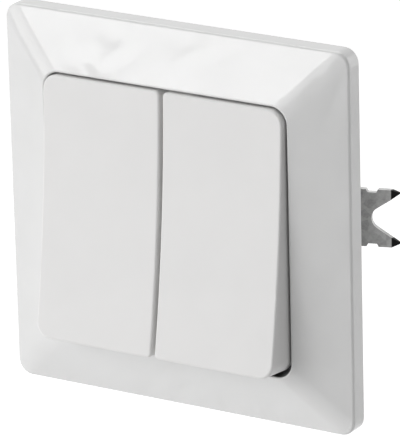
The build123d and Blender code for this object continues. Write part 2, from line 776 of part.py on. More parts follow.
def release_lever(middle_x, up):
    """Slider through the rear wall that pushes the clamp's fingers open."""
    z = lever_z()
    back = rear_wall_y - lever_edge
    front = back - lever_foot
    end = base_depth + lever_proud
    low = -lever_height / 2
    high = lever_height / 2
    half = lever_width / 2
    outline = make_face(Polyline(
        (front, low + lever_edge), (front + lever_edge, low), (end, low), (end, high), (front, high),
        close=True,
    ))
    stem = side_profile(Pos(0, z) * outline, -half, half)
    foot_x = (-half - lever_shoulder, half + lever_shoulder)
    foot = block(foot_x, (front, back), (z + low / 2, z + high))
    lever = Pos(middle_x, 0, 0) * (stem + foot)
    rear = lever.faces().sort_by(Axis.Y)[-1].edges()
    lever = one_solid(fillet(rear, lever_edge))
    return lever if up > 0 else mirror(lever, about=Plane.XY)


# Claws, their screws and nuts

def claw_outline():
    """Flat shape of a claw, from its knuckle out to its two points."""
    far = claw_reach + claw_tip
    notch_in = claw_reach - claw_waist_half
    notch_out = claw_reach + claw_waist_half
    notch_step = claw_half - claw_waist
    upper = [
        (0, claw_arm_outer), (claw_arm_end, claw_arm_outer), (claw_arm_end + claw_step, claw_half),
        (notch_in, claw_half), (notch_in + notch_step / 2, claw_waist), (notch_out, claw_waist),
        (notch_out + notch_step / 2, claw_half), (claw_reach + claw_shoulder, claw_half),
        (far, claw_tip_half),
    ]
    lower = [(s, -z) for s, z in reversed(upper)]
    plate = make_face(Polyline(*upper, *lower, close=True))
    # The mouth's sides touch its round bottom and end at the points
    point = claw_tip_half - 2 * claw_point
    centre = claw_reach + mouth_radius
    run = far - centre
    side_angle = atan(point / run) - asin(mouth_radius / sqrt(run**2 + point**2))
    wide = (far + past - centre) * tan(side_angle) + mouth_radius / cos(side_angle)
    touch = (centre - mouth_radius * sin(side_angle), mouth_radius * cos(side_angle))
    mouth = make_face(Polyline(
        touch, (far + past, wide), (far + past, -wide), (touch[0], -touch[1]), close=True,
    ))
    mouth += Pos(centre, 0) * Circle(mouth_radius)
    slot_end = claw_reach - claw_web
    slot = Pos((slot_end - past) / 2, 0) * Rectangle(slot_end + past, 2 * claw_slot_half)
    slot = fillet(slot.vertices().group_by(Axis.X)[-1], claw_slot_corner)
    return plate - mouth - slot


def claw():
    plane = Plane(
        origin=(knuckle_x, claw_pivot_depth, 0),
        x_dir=(cos(spread), sin(spread), 0),
        z_dir=(sin(spread), -cos(spread), 0),
    )
    plate = extrude(claw_outline(), claw_sheet / 2, both=True)
    front = claw_sheet / 2
    far = claw_reach + claw_tip
    ground = make_face(Polyline(
        (far - claw_bevel, front), (far, front), (far, claw_bevel_edge - front), close=True,
    ))
    plate -= extrude(Plane.XZ * ground, claw_half + past, both=True)
    end = lug_z + lug_sheet + knuckle_proud
    return one_solid(plane.location * plate + rod_z(knuckle, knuckle_x, claw_pivot_depth, (-end, end)))


def claw_nut():
    """Barrel nut that pulls both arms of a claw with its pins."""
    body = rod_z(nut_radius, screw_x, nut_y, (-nut_half, nut_half))
    body += rod_z(nut_pin, screw_x, nut_y, (-nut_pin_reach, nut_pin_reach))
    through = (nut_y - nut_radius - past, nut_y + nut_radius + past)
    return one_solid(body - rod_y(screw_diameter / 2 + nut_play, screw_x, through, 0))


def claw_screw():
    head_back = -ring_thickness - fit_gap
    head_front = head_back - screw_head_height
    body = rod_y(screw_head / 2, screw_x, (head_front, head_back), 0)
    body = fillet(body.faces().sort_by(Axis.Y)[0].edges(), screw_head_edge)
    body += rod_y(screw_diameter / 2, screw_x, (head_back, head_back + screw_length), 0)
    body = chamfer(body.faces().sort_by(Axis.Y)[-1].edges(), screw_end)
    slot_x = (screw_x - screw_head, screw_x + screw_head)
    slot_y = (head_front - past, head_front + screw_slot)
    return one_solid(body - block(slot_x, slot_y, (-screw_slot / 2, screw_slot / 2)))


# Build and write every node

save("cover_frame", cover_frame())
save("support_ring", support_ring())
clips = []
for turn in (0, 180):
    for place in (-clip_place, clip_place):
        clips.append(Rot(0, turn, 0) * Pos(0, 0, place) * frame_clip())
save("frame_clips", *clips)
save("socket_cover", socket_cover())
save("socket_base", socket_base())
save("housing_rivets", *housing_rivets())
save_pair("rocker", tilted(rocker_cap(), -tilt, pivot_y))
save_pair("rocker_carrier", tilted(rocker_carrier(), -tilt, pivot_y))
save_pair("plunger", tilted(plunger(), -tilt, pivot_y))
save_pair("plunger_spring", tilted(plunger_spring(), -tilt, pivot_y))
save_pair("contact_rocker", contact_rocker())
save_pair("moving_contact", moving_contact())
save_pair("fixed_contact", fixed_contact())
save_pair("outlet_rail", outlet_rail())
save("common_rail", common_rail())
for name, (middle_x, up) in lever_places().items():
    half = common_half if name == "common" else outlet_half
    save(f"clamp_spring_{name}", clamp_spring(middle_x, up, half - clamp_inset))
    save(f"release_lever_{name}", release_lever(middle_x, up))
save_pair("claw", claw())
save_pair("claw_nut", claw_nut())
save_pair("claw_screw", claw_screw())
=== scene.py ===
# %% [markdown]
# A double light switch, dressed for a studio picture. The construction comes as a fixed
# frame: cover frame, two rocker caps, steel ring, claws and the hidden mechanism. This
# file adds the camera, the light, a procedural finish for every piece, and the fine
# detail that the construction leaves out: screw threads, terminal signs, a strip gauge
# and the small round marks of ejector pins.
# We work in metres. X runs to the right as seen from the room, Y into the wall, Z up.

# %% Load the frame
import json
from math import cos, pi, radians, sin

import bmesh
import bpy
from mathutils import Matrix, Vector


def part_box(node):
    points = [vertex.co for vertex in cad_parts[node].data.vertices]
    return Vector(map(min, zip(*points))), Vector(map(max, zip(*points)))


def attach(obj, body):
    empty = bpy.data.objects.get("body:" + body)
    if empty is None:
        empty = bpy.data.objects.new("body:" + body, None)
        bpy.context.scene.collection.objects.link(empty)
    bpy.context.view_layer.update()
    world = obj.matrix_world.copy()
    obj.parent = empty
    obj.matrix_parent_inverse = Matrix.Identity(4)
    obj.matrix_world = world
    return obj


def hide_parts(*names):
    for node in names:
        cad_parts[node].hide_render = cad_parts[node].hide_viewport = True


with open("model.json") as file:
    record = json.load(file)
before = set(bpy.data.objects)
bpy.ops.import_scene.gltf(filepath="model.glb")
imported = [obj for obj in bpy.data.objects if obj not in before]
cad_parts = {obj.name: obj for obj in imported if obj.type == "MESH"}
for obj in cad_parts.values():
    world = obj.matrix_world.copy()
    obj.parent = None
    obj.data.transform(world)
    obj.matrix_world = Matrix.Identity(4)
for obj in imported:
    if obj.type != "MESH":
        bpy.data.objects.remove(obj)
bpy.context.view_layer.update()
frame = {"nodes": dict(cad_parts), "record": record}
scene = bpy.context.scene
MM = 0.001

# %% [markdown]
# The camera comes first, because everything else is judged through it. A product picture
# like this is taken from far away with a long lens, so that parallel edges stay nearly
# parallel. We could aim a camera with a constraint, but a constraint hides the numbers.
# Instead we build its three axes by hand: turn round the switch, lift, and a small roll.

# %% Camera
CAMERA_TURN = radians(31.968)
CAMERA_LIFT = radians(18.849)
CAMERA_ROLL = radians(1.478)
CAMERA_DISTANCE = 1051.285 * MM
AIM_RIGHT = -4.412 * MM
AIM_UP = 0.375 * MM
FRONT_EDGE = -4.06 * MM
FOCAL_LENGTH = 418.19

level_right = Vector((cos(CAMERA_TURN), sin(CAMERA_TURN), 0))
toward_camera = Vector((
    sin(CAMERA_TURN) * cos(CAMERA_LIFT),
    -cos(CAMERA_TURN) * cos(CAMERA_LIFT),
    sin(CAMERA_LIFT),
))
level_up = toward_camera.cross(level_right)
camera_right = level_right * cos(CAMERA_ROLL) - level_up * sin(CAMERA_ROLL)
camera_up = level_right * sin(CAMERA_ROLL) + level_up * cos(CAMERA_ROLL)
aim = Vector((0, FRONT_EDGE, 0)) - camera_right * AIM_RIGHT - camera_up * AIM_UP
place = aim + toward_camera * CAMERA_DISTANCE

camera_data = bpy.data.cameras.new("camera")
camera_data.lens = FOCAL_LENGTH
camera_data.clip_start = 0.05
camera_data.clip_end = 20
camera = bpy.data.objects.new("camera", camera_data)
axes = Matrix((camera_right, camera_up, toward_camera)).transposed().to_4x4()
camera.matrix_world = Matrix.Translation(place) @ axes
scene.collection.objects.link(camera)
scene.camera = camera
print("camera at", tuple(round(v, 3) for v in place))

# %% [markdown]
# White plastic on a white ground shows its shape only through small steps of grey, so the
# light has to be soft but not even. The world gives only a weak fill. The camera and the
# reflections see plain white instead, which is what the Light Path node is for, so the
# white background never adds light to the switch.

# %% World
FILL_LEVEL = 0.24
WHITE = (1, 1, 1, 1)

scene.view_settings.view_transform = "Standard"


def seen_directly(nodes, links):
    """One for rays from the camera, a mirror or clear glass, and zero for the light itself."""
    path = nodes.new("ShaderNodeLightPath")
    first = nodes.new("ShaderNodeMath")
    first.operation = "MAXIMUM"
    second = nodes.new("ShaderNodeMath")
    second.operation = "MAXIMUM"
    links.new(path.outputs["Is Camera Ray"], first.inputs[0])
    links.new(path.outputs["Is Glossy Ray"], first.inputs[1])
    links.new(first.outputs[0], second.inputs[0])
    links.new(path.outputs["Is Transmission Ray"], second.inputs[1])
    return second.outputs[0]


world = bpy.data.worlds.new("white_room")
scene.world = world
world.use_nodes = True
world_nodes = world.node_tree.nodes
world_links = world.node_tree.links
world_nodes.clear()
fill = world_nodes.new("ShaderNodeBackground")
fill.inputs["Color"].default_value = WHITE
fill.inputs["Strength"].default_value = FILL_LEVEL
backdrop = world_nodes.new("ShaderNodeBackground")
backdrop.inputs["Color"].default_value = WHITE
backdrop.inputs["Strength"].default_value = 1.0
choose = world_nodes.new("ShaderNodeMixShader")
world_out = world_nodes.new("ShaderNodeOutputWorld")
world_links.new(seen_directly(world_nodes, world_links), choose.inputs["Fac"])
world_links.new(fill.outputs[0], choose.inputs[1])
world_links.new(backdrop.outputs[0], choose.inputs[2])
world_links.new(choose.outputs[0], world_out.inputs["Surface"])
print("fill level:", FILL_LEVEL)

# %% [markdown]
# Three large softboxes shape the switch. The key stands low at the front left, so the left
# slope is light, the right one falls away, and the rockers throw a soft shadow beside them.
# A second hangs high and lifts the top slope. A third stands behind at the right and keeps
# the side band from going grey. All are large and close, because a small lamp would draw
# hard shadows that plastic in a catalogue never has. A fourth one is small and weak, and is
# there for gloss alone: the top slope mirrors its edge, and the slightly wavy wall breaks
# it up. We could give each lamp in watts, but then a lamp that is moved or grows has to be
# set again. So each is given by how bright it makes a white card that faces it.

# %% Softboxes
SOFTBOXES = {  # name: direction seen from the switch, distance, side, brightness
    "key_softbox": ((-0.57, -0.81, 0.12), 1.3, 1.20, 0.60),
    "top_softbox": ((-0.20, 0.42, 0.88), 1.3, 1.05, 0.465),
    "back_softbox": ((0.64, 0.76, 0.14), 1.3, 0.90, 0.24),
    "gloss_softbox": ((-0.47, -0.74, 0.47), 1.15, 0.32, 0.095),
}


def softbox(name, direction, distance, side, brightness):
    """Square area light that gives a facing white card the brightness asked for."""
    data = bpy.data.lights.new(name, "AREA")
    data.shape = "SQUARE"
    data.size = side
    data.energy = brightness * (pi * distance) ** 2
    lamp = bpy.data.objects.new(name, data)
    toward = Vector(direction).normalized()
    lamp.location = toward * distance
    lamp.rotation_euler = toward.to_track_quat("Z", "Y").to_euler()
    scene.collection.objects.link(lamp)


for name, (direction, distance, side, brightness) in SOFTBOXES.items():
    softbox(name, direction, distance, side, brightness)

# %% [markdown]
# The switch is held by its box screws, as on a wall, so the floor lies well below it. The
# floor is a plain pale sheet. It is lit, so it takes the shadow of what is above it, and a
# glow of its own lifts it to paper white. Only the camera, mirrors and glass see that
# glow, so it throws no light on the switch.

# %% Floor
FLOOR_HEIGHT = -0.30
FLOOR_HALF = 6.0
FLOOR_PAINT = (0.82, 0.82, 0.82, 1)
FLOOR_GLOW = 0.60

floor_mesh = bmesh.new()
bmesh.ops.create_grid(floor_mesh, x_segments=1, y_segments=1, size=FLOOR_HALF)
bmesh.ops.translate(floor_mesh, verts=floor_mesh.verts, vec=(0, 0, FLOOR_HEIGHT))
floor_data = bpy.data.meshes.new("floor")
floor_mesh.to_mesh(floor_data)
floor_mesh.free()
floor = bpy.data.objects.new("floor", floor_data)
scene.collection.objects.link(floor)

floor_material = bpy.data.materials.new("pale_floor")
floor_material.use_nodes = True
floor_nodes = floor_material.node_tree.nodes
floor_links = floor_material.node_tree.links
floor_nodes.clear()
floor_paint = floor_nodes.new("ShaderNodeBsdfDiffuse")
floor_paint.inputs["Color"].default_value = FLOOR_PAINT
floor_glow = floor_nodes.new("ShaderNodeEmission")
floor_strength = floor_nodes.new("ShaderNodeMath")
floor_strength.operation = "MULTIPLY"
floor_strength.inputs[1].default_value = FLOOR_GLOW
floor_sum = floor_nodes.new("ShaderNodeAddShader")
floor_out = floor_nodes.new("ShaderNodeOutputMaterial")
floor_links.new(seen_directly(floor_nodes, floor_links), floor_strength.inputs[0])
floor_links.new(floor_strength.outputs[0], floor_glow.inputs["Strength"])
floor_links.new(floor_paint.outputs[0], floor_sum.inputs[0])
floor_links.new(floor_glow.outputs[0], floor_sum.inputs[1])
floor_links.new(floor_sum.outputs[0], floor_out.inputs["Surface"])
floor.data.materials.append(floor_material)
print("floor at", FLOOR_HEIGHT)

# %% [markdown]
# Every finish is a small network round one Principled shader. The helpers below keep the
# networks short: one starts a material, one adds a noise of a given grain, one maps a
# pattern to a range, one mixes two colours and one turns a pattern into bumps. All
# patterns read Object coordinates, which are metres here and never slide on the piece.

# %% Helpers for finishes
finishes = {}


def finish_start(name, metallic=0.0):
    """New material with its shader and the coordinates that its patterns read."""
    made = bpy.data.materials.new(name)
    made.use_nodes = True
    nodes = made.node_tree.nodes
    shader = nodes["Principled BSDF"]
    shader.inputs["Metallic"].default_value = metallic
    where = nodes.new("ShaderNodeTexCoord")
    finishes[name] = made
    return nodes, made.node_tree.links, shader, where.outputs["Object"]


def grain(nodes, links, where, size, detail=2.0, distortion=0.0):
    """Noise whose blobs are about as wide as size."""
    noise = nodes.new("ShaderNodeTexNoise")
    noise.inputs["Scale"].default_value = 1 / size
    noise.inputs["Detail"].default_value = detail
    noise.inputs["Distortion"].default_value = distortion
    links.new(where, noise.inputs["Vector"])
    return noise.outputs["Fac"]


def to_range(nodes, links, value, low, high, start=0.3, end=0.7):
    """Pattern mapped from start..end to low..high."""
    ramp = nodes.new("ShaderNodeMapRange")
    ramp.inputs["From Min"].default_value = start
    ramp.inputs["From Max"].default_value = end
    ramp.inputs["To Min"].default_value = low
    ramp.inputs["To Max"].default_value = high
    links.new(value, ramp.inputs["Value"])
    return ramp.outputs["Result"]


def two_colours(nodes, links, value, dark, light):
    """Colour that runs from dark to light with a pattern."""
    mix = nodes.new("ShaderNodeMix")
    mix.data_type = "RGBA"
    mix.inputs["A"].default_value = (*dark, 1)
    mix.inputs["B"].default_value = (*light, 1)
    links.new(value, mix.inputs["Factor"])
    return mix.outputs["Result"]


def bumps(nodes, links, value, height, strength=1.0, under=None):
    """Normal for a pattern that stands a given height, over other bumps if there are any."""
    bump = nodes.new("ShaderNodeBump")
    bump.inputs["Distance"].default_value = height
    bump.inputs["Strength"].default_value = strength
    links.new(value, bump.inputs["Height"])
    if under is not None:
        links.new(under, bump.inputs["Normal"])
    return bump.outputs["Normal"]


print("helpers ready")

# %% [markdown]
# The narrow gap round the rockers shows the inner wall of the frame's collar, and in the
# real gap hardly any light comes out again. Plain white plastic would leave the line grey,
# so shade is painted there: the wall's colour goes nearly black. Where is "there"? A square
# with round corners is all that lies within a radius of a smaller square, so we measure the
# distance from that square. Two more conditions keep the painted shade behind the rim, and
# away from the window's top edge, where the gap of the real switch is a light line.

# %% Mask for the painted shade in the window's gap
WINDOW_HALF = 29.0 * MM
WINDOW_CORNER = 3.5 * MM
WALL_EDGE = (0.12 * MM, 0.16 * MM)
RIM_DEPTH = -8.95 * MM
BEHIND_RIM = (0.3 * MM, 0.8 * MM)
TOP_FADE = (22 * MM, 27 * MM)


def vector_step(nodes, links, operation, value, other):
    """One step of vector arithmetic with a fixed second value."""
    step = nodes.new("ShaderNodeVectorMath")
    step.operation = operation
    step.inputs[1].default_value = other
    links.new(value, step.inputs[0])
    return step


def times(nodes, links, value, other):
    """Product of two patterns."""
    product = nodes.new("ShaderNodeMath")
    product.operation = "MULTIPLY"
    links.new(value, product.inputs[0])
    links.new(other, product.inputs[1])
    return product.outputs[0]


def painted_gap_shade(nodes, links, where):
    """One where shade is painted on the collar's inner wall, from just behind the window's rim.
    """
    straight = WINDOW_HALF - WINDOW_CORNER
    size = vector_step(nodes, links, "ABSOLUTE", where, (0, 0, 0)).outputs["Vector"]
    past = vector_step(nodes, links, "SUBTRACT", size, (straight, 0, straight)).outputs["Vector"]
    past = vector_step(nodes, links, "MAXIMUM", past, (0, 0, 0)).outputs["Vector"]
    past = vector_step(nodes, links, "MULTIPLY", past, (1, 0, 1)).outputs["Vector"]
    reach = vector_step(nodes, links, "LENGTH", past, (0, 0, 0)).outputs["Value"]
    start, end = (WINDOW_CORNER + edge for edge in WALL_EDGE)
    inner = to_range(nodes, links, reach, 1, 0, start, end)
    apart = nodes.new("ShaderNodeSeparateXYZ")
    links.new(where, apart.inputs["Vector"])
    start, end = (RIM_DEPTH + depth for depth in BEHIND_RIM)
    deep = to_range(nodes, links, apart.outputs["Y"], 0, 1, start, end)
    low = to_range(nodes, links, apart.outputs["Z"], 1, 0, *TOP_FADE)
    return times(nodes, links, times(nodes, links, inner, deep), low)


def blended(nodes, links, value, colour, other):
    """Colour of a network that gives way to a plain one where the pattern is one."""
    mix = nodes.new("ShaderNodeMix")
    mix.data_type = "RGBA"
    mix.inputs["B"].default_value = (*other, 1)
    links.new(value, mix.inputs["Factor"])
    links.new(colour, mix.inputs["A"])
    return mix.outputs["Result"]


print("window corner:", WINDOW_CORNER)

# %% [markdown]
# The cover frame is injection moulded in a polished tool. It is glossy, but not a mirror:
# the skin has a faint orange peel, and over a few centimetres the walls are never quite
# flat, which bends the softboxes' reflections. We add both as very shallow bumps, the fine
# one laid over the wide one.

# %% Glossy frame plastic
# painted shade: near-black colour for the collar's inner wall in the gap round the rockers
GAP_PAINTED_SHADE = (0.03, 0.03, 0.03)
PEEL = 0.9 * MM
PEEL_HEIGHT = 0.002 * MM
WALL_WAVE = 26 * MM
WAVE_HEIGHT = 0.6 * MM


def frame_plastic():
    nodes, links, shader, where = finish_start("frame_plastic")
    cloud = to_range(nodes, links, grain(nodes, links, where, 9 * MM), 0, 1)
    colour = two_colours(nodes, links, cloud, (0.835, 0.835, 0.83), (0.855, 0.855, 0.852))
    # painted shade: the collar's inner wall turns near black where the gap lies in shadow
    gap_shade = painted_gap_shade(nodes, links, where)
    colour = blended(nodes, links, gap_shade, colour, GAP_PAINTED_SHADE)
    links.new(colour, shader.inputs["Base Color"])
    rub = grain(nodes, links, where, 4 * MM, detail=4)
    links.new(to_range(nodes, links, rub, 0.10, 0.15), shader.inputs["Roughness"])
    swell = grain(nodes, links, where, WALL_WAVE, detail=1.5, distortion=1.6)
    wave = bumps(nodes, links, swell, WAVE_HEIGHT)
    skin = bumps(nodes, links, grain(nodes, links, where, PEEL), PEEL_HEIGHT, 0.6, under=wave)
    links.new(skin, shader.inputs["Normal"])


frame_plastic()
print("finishes:", list(finishes))

# %% [markdown]
# The rocker caps are touched every day, so their tool is finely eroded and the plastic
# comes out satin: nearly the same white, a wider highlight and a tiny grain.

# %% Satin rocker plastic
CAP_GRAIN = 0.35 * MM
CAP_GRAIN_HEIGHT = 0.004 * MM


def rocker_plastic():
    nodes, links, shader, where = finish_start("rocker_plastic")
    cloud = to_range(nodes, links, grain(nodes, links, where, 14 * MM), 0, 1)
    colour = two_colours(nodes, links, cloud, (0.862, 0.856, 0.850), (0.880, 0.873, 0.866))
    links.new(colour, shader.inputs["Base Color"])
    rub = grain(nodes, links, where, 6 * MM, detail=3)
    links.new(to_range(nodes, links, rub, 0.36, 0.46), shader.inputs["Roughness"])
    skin = bumps(nodes, links, grain(nodes, links, where, CAP_GRAIN), CAP_GRAIN_HEIGHT, 0.5)
    links.new(skin, shader.inputs["Normal"])


rocker_plastic()
print("finishes:", list(finishes))

# %% [markdown]
# Housing, cover and the inner pieces are plain technical plastics. Nobody sees them once
# the switch is in the wall, so their tools are left with a spark-eroded texture, and
# glass fibre shows as a faint streakiness. One function makes all three.

# %% Technical plastics
SPARK_GRAIN = 0.25 * MM
SPARK_HEIGHT = 0.012 * MM


def technical_plastic(name, dark, light, roughness):
    nodes, links, shader, where = finish_start(name)
    flow = grain(nodes, links, where, 3 * MM, detail=5)
    colour = two_colours(nodes, links, to_range(nodes, links, flow, 0, 1), dark, light)
    links.new(colour, shader.inputs["Base Color"])
    rough = to_range(nodes, links, flow, roughness, roughness + 0.15)
    links.new(rough, shader.inputs["Roughness"])
    spark = grain(nodes, links, where, SPARK_GRAIN, detail=3)
    links.new(bumps(nodes, links, spark, SPARK_HEIGHT, 0.7), shader.inputs["Normal"])


technical_plastic("inner_plastic", (0.66, 0.66, 0.63), (0.72, 0.72, 0.70), 0.45)
technical_plastic("housing_plastic", (0.60, 0.605, 0.60), (0.68, 0.68, 0.675), 0.5)
technical_plastic("lever_plastic", (0.30, 0.32, 0.35), (0.36, 0.38, 0.41), 0.4)
print("finishes:", list(finishes))

# %% [markdown]
# Galvanised sheet has spangles: zinc crystals a few millimetres wide, each a slightly
# different grey. A Voronoi cell colour gives exactly that, and a fine noise adds the dull
# bloom that zinc gets in air. The ring shows it best, because it is the largest sheet.

# %% Galvanised steel
SPANGLE_SHARE = 0.6
BLOOM = 0.5 * MM
BLOOM_HEIGHT = 0.01 * MM


def galvanised(name, spangle, dark, light, roughness):
    """Zinc-coated steel without its colour put in, so that a piece can change it first."""
    nodes, links, shader, where = finish_start(name, metallic=1.0)
    cells = nodes.new("ShaderNodeTexVoronoi")
    cells.inputs["Scale"].default_value = 1 / spangle
    links.new(where, cells.inputs["Vector"])
    split = nodes.new("ShaderNodeSeparateColor")
    links.new(cells.outputs["Color"], split.inputs["Color"])
    bloom = grain(nodes, links, where, BLOOM, detail=5)
    patch = nodes.new("ShaderNodeMath")
    patch.operation = "MULTIPLY_ADD"
    patch.inputs[1].default_value = SPANGLE_SHARE
    links.new(split.outputs["Red"], patch.inputs[0])
    links.new(to_range(nodes, links, bloom, 0, 1 - SPANGLE_SHARE), patch.inputs[2])
    rough = to_range(nodes, links, patch.outputs[0], roughness, roughness + 0.2, 0, 1)
    links.new(rough, shader.inputs["Roughness"])
    links.new(bumps(nodes, links, bloom, BLOOM_HEIGHT, 0.5), shader.inputs["Normal"])
    return nodes, links, shader, where, two_colours(nodes, links, patch.outputs[0], dark, light)


def ring_steel():
    nodes, links, shader, where, colour = galvanised(
        "ring_steel", 4 * MM, (0.36, 0.365, 0.37), (0.60, 0.605, 0.61), 0.38)
    links.new(colour, shader.inputs["Base Color"])


ring_steel()
print("finishes:", list(finishes))

# %% [markdown]
# The claws are hardened at their points, which burns the zinc black there. The burnt zone
# is wherever the metal lies further out than a given distance, with a soft narrow border.

# %% Claw steel with burnt points
BURNT_FROM = 39.0 * MM
BURNT_BORDER = 0.15 * MM
SOOT = (0.012, 0.012, 0.012)


def claw_steel():
    nodes, links, shader, where, colour = galvanised(
        "claw_steel", 1.4 * MM, (0.30, 0.30, 0.298), (0.52, 0.52, 0.515), 0.45)
    apart = nodes.new("ShaderNodeSeparateXYZ")
    links.new(where, apart.inputs["Vector"])
    outward = nodes.new("ShaderNodeMath")
    outward.operation = "ABSOLUTE"
    links.new(apart.outputs["X"], outward.inputs[0])
    end = BURNT_FROM + BURNT_BORDER
    burnt = to_range(nodes, links, outward.outputs[0], 0, 1, BURNT_FROM, end)
    links.new(blended(nodes, links, burnt, colour, SOOT), shader.inputs["Base Color"])


claw_steel()
print("finishes:", list(finishes))

# %% [markdown]
# Brass rails are stamped and a little tarnished, the contact rivets are silver, and the
# springs are bright drawn steel. All get a cloudy colour and fine drawing lines. A noise
# becomes lines when its coordinates are stretched one way before it reads them.

# %% Brass, silver and spring steel
DRAWN = (1, 1, 12)
LINE = 1.2 * MM
LINE_HEIGHT = 0.004 * MM


def stamped_metal(name, dark, light, roughness):
    nodes, links, shader, where = finish_start(name, metallic=1.0)
    cloud = to_range(nodes, links, grain(nodes, links, where, 2.5 * MM, detail=4), 0, 1)
    links.new(two_colours(nodes, links, cloud, dark, light), shader.inputs["Base Color"])
    stretch = nodes.new("ShaderNodeMapping")
    stretch.inputs["Scale"].default_value = DRAWN
    links.new(where, stretch.inputs["Vector"])
    lines = grain(nodes, links, stretch.outputs["Vector"], LINE, detail=3)
    rough = to_range(nodes, links, lines, roughness, roughness + 0.12)
    links.new(rough, shader.inputs["Roughness"])
    links.new(bumps(nodes, links, lines, LINE_HEIGHT, 0.6), shader.inputs["Normal"])


stamped_metal("spring_steel", (0.42, 0.42, 0.42), (0.55, 0.55, 0.55), 0.28)
stamped_metal("contact_brass", (0.52, 0.36, 0.13), (0.70, 0.52, 0.22), 0.3)
stamped_metal("contact_silver", (0.68, 0.68, 0.67), (0.80, 0.80, 0.79), 0.25)
stamped_metal("rivet_brass", (0.50, 0.36, 0.15), (0.62, 0.47, 0.22), 0.35)
print("finishes:", len(finishes))

# %% [markdown]
# On the real switch each part comes from a machine of its own and is of one material. We
# could name the pieces here one by one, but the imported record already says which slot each
# takes its finish from, and its list is always complete. So one loop over it dresses all.

# %% Give every node its finish
for entry in frame["record"]["subparts"]:
    mesh = frame["nodes"][entry["node"]].data
    mesh.materials.clear()
    mesh.materials.append(finishes[entry["material_slot"]])

# %% [markdown]
# The construction knows the claw screws as smooth rods. A real one has a cut thread, and
# the thread is what catches the light behind the switch. A thread is one small zigzag
# swept along a helix: bmesh's spin does it when it gets a step along the axis as well. The
# zigzag is exactly one pitch long, so each turn closes against the next, and merging the
# doubles makes one skin. The helix runs a little past both ends, where two planes cut it
# and two caps close it. The crest keeps the rod's size, so the nut still fits.

# %% Thread of the claw screws
THREAD_PITCH = 0.5 * MM
THREAD_DEPTH = 0.28 * MM
THREAD_PROFILE = ((0, 1), (0.38, 0), (0.5, 0), (0.88, 1), (1, 1))  # along the pitch, depth
RUN_IN = 1.6
SPARE_TURNS = 3
STEPS_PER_TURN = 24
SAME_POINT = 0.001 * MM


def rim_of(cut):
    """Edges that a cutting plane has made."""
    return [part for part in cut["geom_cut"] if isinstance(part, bmesh.types.BMEdge)]


def thread(radius, start, end):
    """Threaded rod along Y from start to end, on the Y axis."""
    rod = bmesh.new()
    points = [
        rod.verts.new((radius - depth * THREAD_DEPTH, start + (along - RUN_IN) * THREAD_PITCH, 0))
        for along, depth in THREAD_PROFILE
    ]
    lines = [rod.edges.new(pair) for pair in zip(points, points[1:])]
    turns = round((end - start) / THREAD_PITCH) + SPARE_TURNS
    bmesh.ops.spin(
        rod, geom=points + lines, cent=(0, 0, 0), axis=(0, 1, 0), angle=2 * pi * turns,
        dvec=(0, THREAD_PITCH / STEPS_PER_TURN, 0), steps=turns * STEPS_PER_TURN)
    bmesh.ops.remove_doubles(rod, verts=rod.verts, dist=SAME_POINT)
    for place, outward in ((start, -1), (end, 1)):
        whole = rod.verts[:] + rod.edges[:] + rod.faces[:]
        cut = bmesh.ops.bisect_plane(
            rod, geom=whole, plane_co=(0, place, 0), plane_no=(0, outward, 0), clear_outer=True)
        bmesh.ops.triangle_fill(rod, edges=rim_of(cut), use_beauty=True)
    bmesh.ops.recalc_face_normals(rod, faces=rod.faces)
    return rod


trial = thread(1.5 * MM, 0, 4 * MM)
print("faces in 4 mm of thread:", len(trial.faces),
      "open edges:", sum(edge.is_boundary for edge in trial.edges))
trial.free()

# %% [markdown]
# The head is a flat cheese head with a slot for the screwdriver. Cutting a slot needs a
# boolean, but we can also build it the way it looks: a disc, and on it two D-shaped halves
# that leave the slot free. Each half is a short cylinder cut flat by one plane, with its
# outer edge rounded by a bevel.

# %% Slotted head
SLOT = 0.8 * MM
HEAD_ROUNDING = 0.4 * MM
ON_FRONT = 0.01 * MM
RIM_SHARE = 0.99


def disc(radius, front, back, segments=64):
    """Closed cylinder along Y between two depths, on the Y axis."""
    made = bmesh.new()
    bmesh.ops.create_cone(made, cap_ends=True, segments=segments, radius1=radius,
                          radius2=radius, depth=back - front)
    upright = Matrix.Rotation(pi / 2, 3, "X")
    bmesh.ops.rotate(made, verts=made.verts, cent=(0, 0, 0), matrix=upright)
    bmesh.ops.translate(made, verts=made.verts, vec=(0, (front + back) / 2, 0))
    return made


def on_front_rim(point, radius, front):
    """Whether a point lies on the outer edge of the head's front face."""
    outward = Vector((point.x, point.z)).length
    return point.y < front + ON_FRONT and outward > radius * RIM_SHARE


def half_head(radius, front, back, side):
    """One half of the slotted head, above or below the slot."""
    half = disc(radius, front, back)
    whole = half.verts[:] + half.edges[:] + half.faces[:]
    cut = bmesh.ops.bisect_plane(half, geom=whole, plane_co=(0, 0, side * SLOT / 2),
                                 plane_no=(0, 0, -side), clear_outer=True)
    bmesh.ops.edgeloop_fill(half, edges=rim_of(cut))
    bmesh.ops.recalc_face_normals(half, faces=half.faces)
    outer = [edge for edge in half.edges
             if all(on_front_rim(v.co, radius, front) for v in edge.verts)]
    bmesh.ops.bevel(half, geom=outer, offset=HEAD_ROUNDING, offset_type="OFFSET", segments=4,
                    profile=0.5, affect="EDGES", material=-1)
    return half


print("slot:", SLOT)

# %% [markdown]
# Three more helpers finish a piece. One lays several meshes into one, one shades it
# smoothly except at its corners, and the last makes the object: it stays at the origin,
# because its place is in its mesh, it rides on its body, it takes its slot's finish, and
# it hides the node that it stands for.

# %% Helpers for new pieces
def joined(parts):
    """Several bmeshes as one."""
    one = bmesh.new()
    for part in parts:
        step = bpy.data.meshes.new("step")
        part.to_mesh(step)
        part.free()
        one.from_mesh(step)
        bpy.data.meshes.remove(step)
    return one


def smooth_below(made, angle):
    """Shade faces smoothly where they meet at less than the angle."""
    for face in made.faces:
        face.smooth = True
    for edge in made.edges:
        edge.smooth = len(edge.link_faces) == 2 and edge.calc_face_angle(pi) < angle


